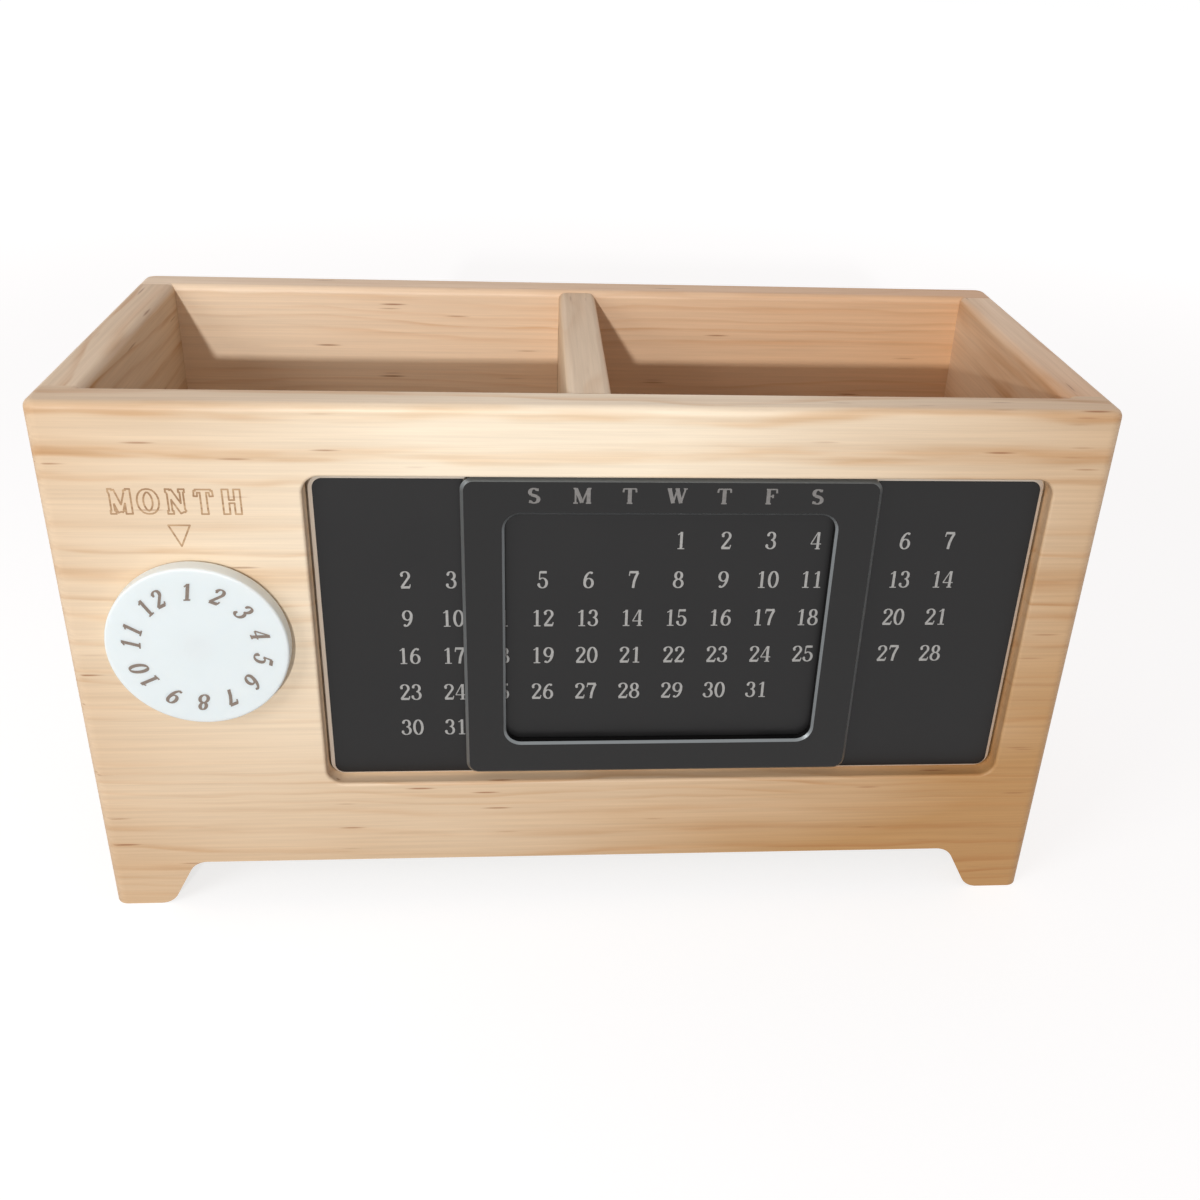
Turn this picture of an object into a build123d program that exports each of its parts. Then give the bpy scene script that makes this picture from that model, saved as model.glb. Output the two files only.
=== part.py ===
"""Desk calendar: a pine pen box with a sliding weekday frame and a month dial.

Millimetres, +Z up, +X to the right seen from the front. The origin is at the
bottom centre of the whole object, dial included, on the surface it stands on.
"""
from build123d import *
import os

# ---------------------------------------------------------------- box of pine boards
box_width = 190.0
box_depth = 80.0
box_height = 109.0
front_thickness = 8.0
back_thickness = 8.0
side_thickness = 8.0
corner_radius = 2.5          # upright outer corners
rim_radius = 1.5             # sanded top edges, outside and inside

# ---------------------------------------------------------------- feet, cut from the boards
apron_height = 10.6          # underside of the boards between the feet
toe_width = 11.6             # foot's width on the ground, measured to its sloping side
toe_slope_run = 5.6          # how far the sloping side leans in up to the apron
toe_fillet = 4.0             # rounding at both ends of the sloping side

# ---------------------------------------------------------------- floor and divider
floor_thickness = 4.0
floor_underside = 13.0
floor_tongue = 3.0           # how far the floor reaches into each board
groove_clearance = 0.1
divider_thickness = 8.0
divider_drop = 0.4           # divider's top edge lies this far below the rim
divider_radius = 1.5
housing_depth = 1.5          # the divider's ends sit this deep in front and back
housing_stop = 8.0           # the housing ends this far below the rim

# ---------------------------------------------------------------- corner dowels
dowel_radius = 2.5
dowel_length = 22.0
dowel_in_face_board = 5.5    # length of the dowel in the front or back board
dowel_chamfer = 0.6
dowel_heights = (30.0, 60.0, 92.0)
glue_gap = 0.05

# ---------------------------------------------------------------- recess in the front board
recess_from_left_end = 44.9  # the dial stands in this margin
recess_from_right_end = 10.6
recess_height = 66.0
recess_bottom = 29.7
recess_corner_radius = 3.2
recess_edge_radius = 0.6

# ---------------------------------------------------------------- calendar board in the recess
calendar_set_back = 2.7      # from the front board's face to the calendar's face
calendar_thickness = 1.6
calendar_bevel = 0.9
calendar_side_gap = 0.4
calendar_top_gap = 0.4
adhesive_thickness = 0.2
adhesive_margin = 4.0

# ---------------------------------------------------------------- slider frame over the calendar
slider_width = 76.0
slider_thickness = 1.7
slider_bevel = 0.6           # round its outside
window_bevel = 0.45          # round its window
slider_corner_radius = 2.4
slider_air_gap = 0.3         # between the frame's back and the calendar's face
slider_top_gap = 0.4         # between the frame and the recess's top wall
slider_bottom_gap = 1.6
slider_rest_shift = -2.05    # where it stands now, from the middle of the recess
side_bar_width = 7.8         # the frame's bars round its window
top_bar_height = 7.1
low_bar_height = 7.3
window_corner_radius = 3.0
magnet_radius = 3.0
magnet_thickness = 1.0
magnet_spacing_z = 36.0
pad_thickness = 0.2
pad_width = 3.6
pad_length = 52.0
pad_corner_radius = 1.2

# ---------------------------------------------------------------- month dial and its pivot
dial_from_left_end = 24.6
dial_z = 63.4
dial_radius = 16.3
dial_thickness = 3.2
dial_edge_radius = 0.45
dial_gap = 0.4               # between the dial's back and the front board
shank_radius = 1.5
running_clearance = 0.05
insert_radius = 2.3
insert_length = 2.2
screw_end_gap = 0.1          # the screw stops this far short of the insert's blind end
bush_wall = 1.4
bush_flange_radius = 5.0
bush_flange_thickness = 0.3
counterbore_radius = 5.5
counterbore_depth = 3.6
washer_radius = 3.4
washer_thickness = 0.5
spring_radius = 3.0
spring_thickness = 0.25
spring_bow = 0.45            # how far the bowed washer's middle stands off its ends
stack_gap = 0.03             # between the turning and the fixed pieces of the stack
head_radius = 2.8
head_height = 1.8
head_edge_radius = 0.7
drive_width = 0.8
drive_length = 3.2
drive_depth = 0.9

# ---------------------------------------------------------------- places worked out from the sizes
half_width = box_width / 2
dial_proud = dial_gap + dial_thickness
front_y = dial_proud - (box_depth + dial_proud) / 2
back_y = front_y + box_depth
front_inner_y = front_y + front_thickness
back_inner_y = back_y - back_thickness
middle_y = (front_y + back_y) / 2
cavity_width = box_width - 2 * side_thickness
cavity_depth = back_inner_y - front_inner_y
cavity_middle_y = (front_inner_y + back_inner_y) / 2
floor_top = floor_underside + floor_thickness

recess_width = box_width - recess_from_left_end - recess_from_right_end
recess_center_x = half_width - recess_from_right_end - recess_width / 2
recess_center_z = recess_bottom + recess_height / 2
recess_top = recess_bottom + recess_height
recess_depth = calendar_set_back + calendar_thickness + adhesive_thickness
calendar_width = recess_width - 2 * calendar_side_gap
calendar_height = recess_height - calendar_top_gap
calendar_center_z = recess_bottom + calendar_height / 2
calendar_corner_radius = recess_corner_radius - calendar_side_gap
calendar_face_y = front_y + calendar_set_back
calendar_back_y = calendar_face_y + calendar_thickness

slider_height = recess_height - slider_top_gap - slider_bottom_gap
slider_x = recess_center_x + slider_rest_shift
slider_z = recess_top - slider_top_gap - slider_height / 2
slider_back_y = calendar_face_y - slider_air_gap
slider_front_y = slider_back_y - slider_thickness
window_width = slider_width - 2 * side_bar_width
window_height = slider_height - top_bar_height - low_bar_height
window_z = slider_z + (low_bar_height - top_bar_height) / 2
top_bar_z = slider_z + slider_height / 2 - top_bar_height / 2
low_bar_z = slider_z - slider_height / 2 + low_bar_height / 2

dial_x = dial_from_left_end - half_width
dial_back_y = front_y - dial_gap
dial_face_y = dial_back_y - dial_thickness
bush_bore = shank_radius + running_clearance
bush_radius = bush_bore + bush_wall
seat_y = front_inner_y - counterbore_depth
washer_back_y = seat_y + washer_thickness
spring_front_y = washer_back_y + stack_gap
head_front_y = spring_front_y + spring_bow + spring_thickness + stack_gap
insert_end_y = dial_back_y - insert_length


def front_plane(y):
    """Upright plane at depth y, seen from the front: local x right, local y up."""
    return Plane(origin=(0, y, 0), x_dir=(1, 0, 0), z_dir=(0, -1, 0))


def side_plane(x):
    """Upright plane at x, seen from the right: local x to the back, local y up."""
    return Plane(origin=(x, 0, 0), x_dir=(0, 1, 0), z_dir=(1, 0, 0))


def gap_between_feet(plane, low, high, reach):
    """The opening under a board that runs from low to high: what is left is two feet.

    Its sloping sides are rounded where they meet the apron and where they meet the ground.
    """
    with BuildPart() as gap:
        with BuildSketch(plane) as outline:
            with BuildLine():
                Polyline(
                    (low, -apron_height),
                    (low, 0),
                    (low + toe_width, 0),
                    (low + toe_width + toe_slope_run, apron_height),
                    (high - toe_width - toe_slope_run, apron_height),
                    (high - toe_width, 0),
                    (high, 0),
                    (high, -apron_height),
                    close=True,
                )
            make_face()
            slope_ends = outline.vertices().sort_by(Axis.X)[2:-2]
            fillet(slope_ends, toe_fillet)
        extrude(amount=reach, both=True)
    return gap.part


os.makedirs("parts", exist_ok=True)

# ---------------------------------------------------------------- outline of the whole box
# Hollow, with its edges rounded as if the glued box had been sanded in one go. Each board
# is a slice of this shell.
with BuildPart() as box_shell:
    with BuildSketch(Plane.XY):
        with Locations((0, middle_y)):
            Rectangle(box_width, box_depth)
    extrude(amount=box_height)
    fillet(box_shell.edges().filter_by(Axis.Z), corner_radius)
    with BuildSketch(Plane.XY):
        with Locations((0, cavity_middle_y)):
            Rectangle(cavity_width, cavity_depth)
    extrude(amount=box_height, mode=Mode.SUBTRACT)
    fillet(box_shell.faces().sort_by(Axis.Z)[-1].edges(), rim_radius)

gap_front_to_back = gap_between_feet(front_plane(middle_y), -half_width, half_width, box_depth)
gap_side_to_side = gap_between_feet(side_plane(0), front_y, back_y, box_width)

# ---------------------------------------------------------------- floor panel
floor_reach = floor_tongue - groove_clearance
with BuildPart() as floor_panel:
    with BuildSketch(Plane.XY.offset(floor_underside)):
        with Locations((0, cavity_middle_y)):
            Rectangle(cavity_width + 2 * floor_reach, cavity_depth + 2 * floor_reach)
    extrude(amount=floor_thickness)
floor_panel.part.label = "floor_panel"
export_step(floor_panel.part, "parts/floor_panel.step")

# The groove that all four boards carry for the floor panel.
with BuildPart() as floor_groove:
    with BuildSketch(Plane.XY.offset(floor_underside)):
        with Locations((0, cavity_middle_y)):
            Rectangle(cavity_width + 2 * floor_tongue, cavity_depth + 2 * floor_tongue)
    extrude(amount=floor_thickness + groove_clearance)

# ---------------------------------------------------------------- centre divider
housing_top = box_height - housing_stop
divider_reach = housing_depth - groove_clearance
with BuildPart() as center_divider:
    with BuildSketch(Plane.XY.offset(floor_top)):
        with Locations((0, cavity_middle_y)):
            Rectangle(divider_thickness, cavity_depth)
    extrude(amount=box_height - divider_drop - floor_top)
    fillet(center_divider.faces().sort_by(Axis.Z)[-1].edges().filter_by(Axis.Y), divider_radius)
    with BuildSketch(Plane.XY.offset(floor_top)):
        with Locations((0, cavity_middle_y)):
            Rectangle(divider_thickness, cavity_depth + 2 * divider_reach)
    extrude(amount=housing_top - groove_clearance - floor_top)
center_divider.part.label = "center_divider"
export_step(center_divider.part, "parts/center_divider.step")

# The housings for the divider's ends in the front and back boards.
with BuildPart() as divider_housing:
    with BuildSketch(Plane.XY.offset(floor_top)):
        with Locations((0, cavity_middle_y)):
            Rectangle(divider_thickness + 2 * glue_gap, cavity_depth + 2 * housing_depth)
    extrude(amount=housing_top - floor_top)

# ---------------------------------------------------------------- corner dowels
dowel_x = half_width - side_thickness / 2
dowel_in_side = dowel_length - dowel_in_face_board
dowel_places = [(x, z) for x in (-dowel_x, dowel_x) for z in dowel_heights]
dowel_starts = (front_inner_y - dowel_in_face_board, back_inner_y - dowel_in_side)

with BuildPart() as corner_dowels:
    for start_y in dowel_starts:
        with BuildSketch(front_plane(start_y)):
            with Locations(*dowel_places):
                Circle(dowel_radius)
        extrude(amount=-dowel_length)
    chamfer(corner_dowels.edges().filter_by(GeomType.CIRCLE), dowel_chamfer)
corner_dowels.part.label = "corner_dowels"
export_step(corner_dowels.part, "parts/corner_dowels.step")

# The holes for the dowels, a little wider and longer than the dowels for the glue.
with BuildPart() as dowel_holes:
    for start_y in dowel_starts:
        with BuildSketch(front_plane(start_y - glue_gap)):
            with Locations(*dowel_places):
                Circle(dowel_radius + glue_gap)
        extrude(amount=-(dowel_length + 2 * glue_gap))

# ---------------------------------------------------------------- front board
with BuildPart() as front_panel:
    add(box_shell.part)
    split(bisect_by=front_plane(front_inner_y), keep=Keep.TOP)
    add(gap_front_to_back, mode=Mode.SUBTRACT)
    with BuildSketch(front_plane(front_y)):
        with Locations((recess_center_x, recess_center_z)):
            RectangleRounded(recess_width, recess_height, recess_corner_radius)
    extrude(amount=-recess_depth, mode=Mode.SUBTRACT)
    front_face = front_panel.faces().sort_by(Axis.Y)[0]
    fillet(front_face.inner_wires()[0].edges(), recess_edge_radius)
    with BuildSketch(front_plane(front_y)):
        with Locations((dial_x, dial_z)):
            Circle(bush_radius + glue_gap)
    extrude(amount=-front_thickness, mode=Mode.SUBTRACT)
    with BuildSketch(front_plane(seat_y)):
        with Locations((dial_x, dial_z)):
            Circle(counterbore_radius)
    extrude(amount=-counterbore_depth, mode=Mode.SUBTRACT)
    add(floor_groove.part, mode=Mode.SUBTRACT)
    add(divider_housing.part, mode=Mode.SUBTRACT)
    add(dowel_holes.part, mode=Mode.SUBTRACT)
front_panel.part.label = "front_panel"
export_step(front_panel.part, "parts/front_panel.step")

# ---------------------------------------------------------------- back board
with BuildPart() as back_panel:
    add(box_shell.part)
    split(bisect_by=front_plane(back_inner_y), keep=Keep.BOTTOM)
    add(gap_front_to_back, mode=Mode.SUBTRACT)
    add(floor_groove.part, mode=Mode.SUBTRACT)
    add(divider_housing.part, mode=Mode.SUBTRACT)
    add(dowel_holes.part, mode=Mode.SUBTRACT)
back_panel.part.label = "back_panel"
export_step(back_panel.part, "parts/back_panel.step")


# ---------------------------------------------------------------- side boards
def side_panel(side_kept):
    """The board between front and back on one side, grooved for the floor."""
    with BuildPart() as panel:
        add(box_shell.part)
        split(bisect_by=front_plane(front_inner_y), keep=Keep.BOTTOM)
        split(bisect_by=front_plane(back_inner_y), keep=Keep.TOP)
        split(bisect_by=side_plane(0), keep=side_kept)
        add(gap_side_to_side, mode=Mode.SUBTRACT)
        add(floor_groove.part, mode=Mode.SUBTRACT)
        add(dowel_holes.part, mode=Mode.SUBTRACT)
    return panel


left_side_panel = side_panel(Keep.BOTTOM)
left_side_panel.part.label = "left_side_panel"
export_step(left_side_panel.part, "parts/left_side_panel.step")

right_side_panel = side_panel(Keep.TOP)
right_side_panel.part.label = "right_side_panel"
export_step(right_side_panel.part, "parts/right_side_panel.step")

# ---------------------------------------------------------------- calendar board
with BuildPart() as calendar_board:
    with BuildSketch(front_plane(calendar_face_y)):
        with Locations((recess_center_x, calendar_center_z)):
            RectangleRounded(calendar_width, calendar_height, calendar_corner_radius)
    extrude(amount=-calendar_thickness)
    chamfer(calendar_board.faces().sort_by(Axis.Y)[0].edges(), calendar_bevel)
calendar_board.part.label = "calendar_board"
export_step(calendar_board.part, "parts/calendar_board.step")

with BuildPart() as board_adhesive:
    with BuildSketch(front_plane(calendar_back_y)):
        with Locations((recess_center_x, calendar_center_z)):
            Rectangle(calendar_width - 2 * adhesive_margin, calendar_height - 2 * adhesive_margin)
    extrude(amount=-adhesive_thickness)
board_adhesive.part.label = "board_adhesive"
export_step(board_adhesive.part, "parts/board_adhesive.step")

# ---------------------------------------------------------------- slider frame
magnet_x = window_width / 2 + side_bar_width / 2
magnet_places = [
    (slider_x + side * magnet_x, slider_z + level * magnet_spacing_z / 2)
    for side in (-1, 1)
    for level in (-1, 1)
]

with BuildPart() as slider_frame:
    with BuildSketch(front_plane(slider_front_y)):
        with Locations((slider_x, slider_z)):
            RectangleRounded(slider_width, slider_height, slider_corner_radius)
        with Locations((slider_x, window_z)):
            RectangleRounded(window_width, window_height, window_corner_radius, mode=Mode.SUBTRACT)
    extrude(amount=-slider_thickness)
    slider_face = slider_frame.faces().sort_by(Axis.Y)[0]
    chamfer(slider_face.inner_wires()[0].edges(), window_bevel)
    slider_face = slider_frame.faces().sort_by(Axis.Y)[0]
    chamfer(slider_face.outer_wire().edges(), slider_bevel)
    with BuildSketch(front_plane(slider_back_y)):
        with Locations(*magnet_places):
            Circle(magnet_radius + glue_gap)
    extrude(amount=magnet_thickness + glue_gap, mode=Mode.SUBTRACT)
slider_frame.part.label = "slider_frame"
export_step(slider_frame.part, "parts/slider_frame.step")

with BuildPart() as slider_magnets:
    with BuildSketch(front_plane(slider_back_y)):
        with Locations(*magnet_places):
            Circle(magnet_radius)
    extrude(amount=magnet_thickness)
slider_magnets.part.label = "slider_magnets"
export_step(slider_magnets.part, "parts/slider_magnets.step")

with BuildPart() as slider_glide_pads:
    with BuildSketch(front_plane(slider_back_y)):
        with Locations((slider_x, top_bar_z), (slider_x, low_bar_z)):
            RectangleRounded(pad_length, pad_width, pad_corner_radius)
    extrude(amount=-pad_thickness)
slider_glide_pads.part.label = "slider_glide_pads"
export_step(slider_glide_pads.part, "parts/slider_glide_pads.step")

# ---------------------------------------------------------------- month dial
with BuildPart() as month_dial:
    with BuildSketch(front_plane(dial_face_y)):
        with Locations((dial_x, dial_z)):
            Circle(dial_radius)
    extrude(amount=-dial_thickness)
    fillet(month_dial.edges(), dial_edge_radius)
    with BuildSketch(front_plane(dial_back_y)):
        with Locations((dial_x, dial_z)):
            Circle(insert_radius + glue_gap)
    extrude(amount=insert_length + glue_gap, mode=Mode.SUBTRACT)
month_dial.part.label = "month_dial"
export_step(month_dial.part, "parts/month_dial.step")

with BuildPart() as dial_insert:
    with BuildSketch(front_plane(dial_back_y)):
        with Locations((dial_x, dial_z)):
            Circle(insert_radius)
            Circle(shank_radius + glue_gap, mode=Mode.SUBTRACT)
    extrude(amount=insert_length)
dial_insert.part.label = "dial_insert"
export_step(dial_insert.part, "parts/dial_insert.step")

# ---------------------------------------------------------------- pivot screw
with BuildPart() as dial_screw:
    with BuildSketch(front_plane(head_front_y)):
        with Locations((dial_x, dial_z)):
            Circle(head_radius)
    extrude(amount=-head_height)
    fillet(dial_screw.edges().sort_by(Axis.Y)[-1], head_edge_radius)
    with BuildSketch(front_plane(head_front_y + head_height)):
        with Locations((dial_x, dial_z)):
            Rectangle(drive_length, drive_width)
            Rectangle(drive_width, drive_length)
    extrude(amount=drive_depth, mode=Mode.SUBTRACT)
    with BuildSketch(front_plane(head_front_y)):
        with Locations((dial_x, dial_z)):
            Circle(shank_radius)
    extrude(amount=head_front_y - insert_end_y - screw_end_gap)
dial_screw.part.label = "dial_screw"
export_step(dial_screw.part, "parts/dial_screw.step")

# ---------------------------------------------------------------- bush and washers
with BuildPart() as dial_bush:
    with BuildSketch(front_plane(front_y - bush_flange_thickness)):
        with Locations((dial_x, dial_z)):
            Circle(bush_flange_radius)
    extrude(amount=-bush_flange_thickness)
    with BuildSketch(front_plane(front_y)):
        with Locations((dial_x, dial_z)):
            Circle(bush_radius)
    extrude(amount=front_y - seat_y)
    with BuildSketch(front_plane(seat_y)):
        with Locations((dial_x, dial_z)):
            Circle(bush_bore)
    extrude(amount=seat_y - front_y + bush_flange_thickness, mode=Mode.SUBTRACT)
dial_bush.part.label = "dial_bush"
export_step(dial_bush.part, "parts/dial_bush.step")

with BuildPart() as dial_washer:
    with BuildSketch(front_plane(seat_y)):
        with Locations((dial_x, dial_z)):
            Circle(washer_radius)
            Circle(bush_bore, mode=Mode.SUBTRACT)
    extrude(amount=-washer_thickness)
dial_washer.part.label = "dial_washer"
export_step(dial_washer.part, "parts/dial_washer.step")

# A ring of thin spring steel bowed across its width: two ends bear on the flat washer,
# the middle on the screw's head.
with BuildPart() as dial_spring_washer:
    with BuildSketch(Plane(origin=(dial_x, 0, dial_z - spring_radius))):
        with BuildLine():
            front_arc = ThreePointArc(
                (-spring_radius, spring_front_y),
                (0, spring_front_y + spring_bow),
                (spring_radius, spring_front_y),
            )
            offset(front_arc, amount=spring_thickness, side=Side.LEFT)
        make_face()
    extrude(amount=2 * spring_radius)
    with BuildSketch(front_plane(spring_front_y)):
        with Locations((dial_x, dial_z)):
            Circle(spring_radius)
            Circle(bush_bore, mode=Mode.SUBTRACT)
    extrude(amount=-(spring_bow + spring_thickness), mode=Mode.INTERSECT)
dial_spring_washer.part.label = "dial_spring_washer"
export_step(dial_spring_washer.part, "parts/dial_spring_washer.step")
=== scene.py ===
# %% [markdown]
# # A pine desk calendar with pen compartments
# The object is an open pine box that holds pens and carries a calendar in its front: a black
# plate printed with dates, a black frame that slides over it to pick out a month, and a white
# dial for the month. The CAD model holds every piece at its real size. This script dresses
# those pieces: it gives each surface its material, lays the printing on the plates, and sets
# up the camera, the floor and the lamps. All lengths are in metres, in the CAD model's frame:
# +X to the right along the front, +Y from front to back, +Z up.

import math

import bmesh
import bpy
from mathutils import Matrix, Vector
from mathutils.geometry import delaunay_2d_cdt


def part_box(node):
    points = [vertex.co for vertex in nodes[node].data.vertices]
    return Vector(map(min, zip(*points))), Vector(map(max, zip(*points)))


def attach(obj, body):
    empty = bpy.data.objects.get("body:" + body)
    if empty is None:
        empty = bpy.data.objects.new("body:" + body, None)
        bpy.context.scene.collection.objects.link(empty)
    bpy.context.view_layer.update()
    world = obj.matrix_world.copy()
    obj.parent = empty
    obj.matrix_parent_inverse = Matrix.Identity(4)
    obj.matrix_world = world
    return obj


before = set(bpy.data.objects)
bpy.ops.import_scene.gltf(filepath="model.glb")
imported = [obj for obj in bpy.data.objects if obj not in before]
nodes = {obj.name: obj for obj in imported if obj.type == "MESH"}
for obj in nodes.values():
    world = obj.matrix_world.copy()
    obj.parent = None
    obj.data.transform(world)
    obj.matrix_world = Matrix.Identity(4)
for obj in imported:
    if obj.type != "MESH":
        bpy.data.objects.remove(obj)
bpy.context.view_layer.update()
mm = 0.001

# %% [markdown]
# ## Camera
# The camera stands where the object's outline says that it stood: a little left of the middle,
# about 20 cm in front of the front board and looking down on the rim. The lens and the small
# shift come from the same fit, so the straight edges converge as they do in the picture. The
# roll is the tilt of a hand-held camera.

# %% Camera
camera_place = Vector((-11.3, -240.1, 185.5)) * mm
camera_turn_right = 5.10       # degrees, away from looking straight at the front
camera_look_down = 27.48
camera_roll = 2.37
sensor_width = 36.0            # millimetres
focal_length = 37.68
lens_shift = (-0.0208, -0.0354)    # sideways and up, in sensor widths
nearest_seen = 10 * mm

camera_data = bpy.data.cameras.new("camera")
camera_data.sensor_width = sensor_width
camera_data.lens = focal_length
camera_data.shift_x, camera_data.shift_y = lens_shift
camera_data.clip_start = nearest_seen
camera = bpy.data.objects.new("camera", camera_data)
camera.matrix_world = (
    Matrix.Translation(camera_place)
    @ Matrix.Rotation(-math.radians(camera_turn_right), 4, "Z")
    @ Matrix.Rotation(math.radians(90 - camera_look_down), 4, "X")
    @ Matrix.Rotation(math.radians(camera_roll), 4, "Z")
)
bpy.context.scene.collection.objects.link(camera)
bpy.context.scene.camera = camera
bpy.context.scene.view_settings.view_transform = "Standard"
print("camera at", tuple(round(x, 3) for x in camera_place), "lens", camera_data.lens)

# %% [markdown]
# ## Colours and nodes
# Colours are written as sRGB hex values, as a paint shop would, and turned to the linear values
# that Blender's sockets take. Every node is added by one function: it makes the node, sets its
# options, and gives each named socket either a value or a link from another node.

# %% Helpers for colours and nodes
def linear(hex_colour):
    """The linear red, green, blue and alpha of an sRGB colour such as "#E8C99A"."""
    channels = [int(hex_colour[i:i + 2], 16) / 255 for i in (1, 3, 5)]
    return [c / 12.92 if c <= 0.04045 else ((c + 0.055) / 1.055) ** 2.4 for c in channels] + [1.0]


def add_node(tree, kind, inputs=None, **options):
    """Add a node; inputs maps a socket to a value, to a node (its first output) or to an output."""
    node = tree.nodes.new(kind)
    for option, value in options.items():
        setattr(node, option, value)
    for socket, value in (inputs or {}).items():
        if isinstance(value, bpy.types.Node):
            value = value.outputs[0]
        if isinstance(value, bpy.types.NodeSocket):
            tree.links.new(value, node.inputs[socket])
        else:
            node.inputs[socket].default_value = value
    return node


def start_material(name):
    """An empty material: its node tree and the shader that the output shows."""
    material = bpy.data.materials.new(name)
    material.use_nodes = True
    tree = material.node_tree
    tree.nodes.clear()
    shader = tree.nodes.new("ShaderNodeBsdfPrincipled")
    add_node(tree, "ShaderNodeOutputMaterial", {"Surface": shader})
    return material, tree, shader


def link(tree, source, shader, socket):
    """Feed one socket of a shader that is already there from a node's first output."""
    tree.links.new(source.outputs[0], shader.inputs[socket])


def surface_point(tree):
    """Where the shaded point lies in the CAD model's frame, in mm, and which way it faces."""
    place = add_node(tree, "ShaderNodeTexCoord")
    in_mm = add_node(
        tree, "ShaderNodeVectorMath", {0: place.outputs["Object"], "Scale": 1000.0}, operation="SCALE")
    return in_mm, place.outputs["Normal"]


def dress(material, *names):
    """Give CAD pieces their material, through their own slots."""
    for name in names:
        for slot in nodes[name].material_slots:
            slot.material = material
    print(material.name, "on", ", ".join(names))


print("honey brown in linear light:", [round(x, 3) for x in linear("#BA8F5C")])

# %% [markdown]
# ## Floor
# A plain matt table top. Its own colour is a middle grey, so it throws only a little light up
# at the front board. Seen by the camera, in reflections or through glass it gets some light of
# its own, which takes the open floor to white while the box still darkens it near its feet. The
# lift grows a little with distance, as a studio backdrop is lit more strongly further back.

# %% What the camera and mirrors see
def seen_directly(tree):
    """1 where the camera, a mirror or clear glass looks, and 0 for light that falls on things."""
    path = add_node(tree, "ShaderNodeLightPath")
    seen_or_mirrored = add_node(
        tree, "ShaderNodeMath",
        {0: path.outputs["Is Camera Ray"], 1: path.outputs["Is Glossy Ray"]}, operation="MAXIMUM")
    return add_node(
        tree, "ShaderNodeMath",
        {0: seen_or_mirrored, 1: path.outputs["Is Transmission Ray"]}, operation="MAXIMUM")


# %% Floor
half_floor = 3.0               # metres
lift_near, lift_far = 0.72, 0.86     # light of its own that the floor shows to camera and mirrors
lift_from, lift_to = 250.0, 900.0    # mm from the object between which it grows

floor_mesh = bpy.data.meshes.new("floor")
floor_corners = [(x * half_floor, y * half_floor, 0) for x, y in ((-1, -1), (1, -1), (1, 1), (-1, 1))]
floor_mesh.from_pydata(floor_corners, [], [(0, 1, 2, 3)])
floor = bpy.data.objects.new("floor", floor_mesh)
bpy.context.scene.collection.objects.link(floor)

floor_paint, tree, shader = start_material("matt_grey_table_top")
shader.inputs["Base Color"].default_value = linear("#ABAFB3")
shader.inputs["Roughness"].default_value = 0.9
shader.inputs["Specular IOR Level"].default_value = 0.0
in_mm, _ = surface_point(tree)
distance = add_node(tree, "ShaderNodeVectorMath", {0: in_mm}, operation="LENGTH")
backdrop = add_node(
    tree, "ShaderNodeMapRange",
    {"Value": distance.outputs["Value"], "From Min": lift_from, "From Max": lift_to,
     "To Min": lift_near, "To Max": lift_far},
    interpolation_type="SMOOTHSTEP")
lift = add_node(tree, "ShaderNodeMath", {0: seen_directly(tree), 1: backdrop}, operation="MULTIPLY")
shader.inputs["Emission Color"].default_value = linear("#FFFFFF")
link(tree, lift, shader, "Emission Strength")
floor_mesh.materials.append(floor_paint)
print("floor", 2 * half_floor, "m wide")

# %% World
room_light = 0.46              # light that the room gives from all round
room_tint = "#FFEFE8"          # warmed by its walls
world = bpy.data.worlds.new("studio")
world.use_nodes = True
bpy.context.scene.world = world
world_tree = world.node_tree
world_tree.nodes.clear()
seen = seen_directly(world_tree)
strength = add_node(
    world_tree, "ShaderNodeMapRange", {"Value": seen, "To Min": room_light, "To Max": 1.0})
room_colour = add_node(
    world_tree, "ShaderNodeMixRGB",
    {"Fac": seen, "Color1": linear(room_tint), "Color2": linear("#FFFFFF")})
background = add_node(world_tree, "ShaderNodeBackground", {"Color": room_colour, "Strength": strength})
add_node(world_tree, "ShaderNodeOutputWorld", {"Surface": background})
print("room light", room_light)

# %% [markdown]
# ## Lamps
# The shadow that the front board throws on the inside of the back board shows where the main
# light is: in front, a little to the left and only about 15 degrees above the table, like a
# window across the room. A soft lamp close by on the left fills the front. It is about as wide
# as the box and only half a metre away, so its light falls off along the front and leaves the
# right end darker.

# %% Lamps
def add_lamp(name, towards, travel, distance, size, watts, colour):
    """A square soft lamp, aimed at a point along the direction in which its light travels."""
    data = bpy.data.lights.new(name, "AREA")
    data.shape = "SQUARE"
    data.size = size
    data.energy = watts
    data.color = linear(colour)[:3]
    lamp = bpy.data.objects.new(name, data)
    direction = Vector(travel).normalized()
    lamp.location = Vector(towards) - direction * distance
    lamp.rotation_mode = "QUATERNION"
    lamp.rotation_quaternion = direction.to_track_quat("-Z", "Y")
    bpy.context.scene.collection.objects.link(lamp)
    print(name, "at", tuple(round(x, 2) for x in lamp.location), watts, "W")


box_middle = (0.0, 0.0, 0.06)
daylight = "#FDFCFA"
add_lamp("window_light", box_middle, (10.3, 64.5, -17.4), 2.0, 0.05, 18.6, daylight)
add_lamp("side_light", box_middle, (50.0, 45.0, -28.0), 0.5, 0.22, 0.64, daylight)

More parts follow.
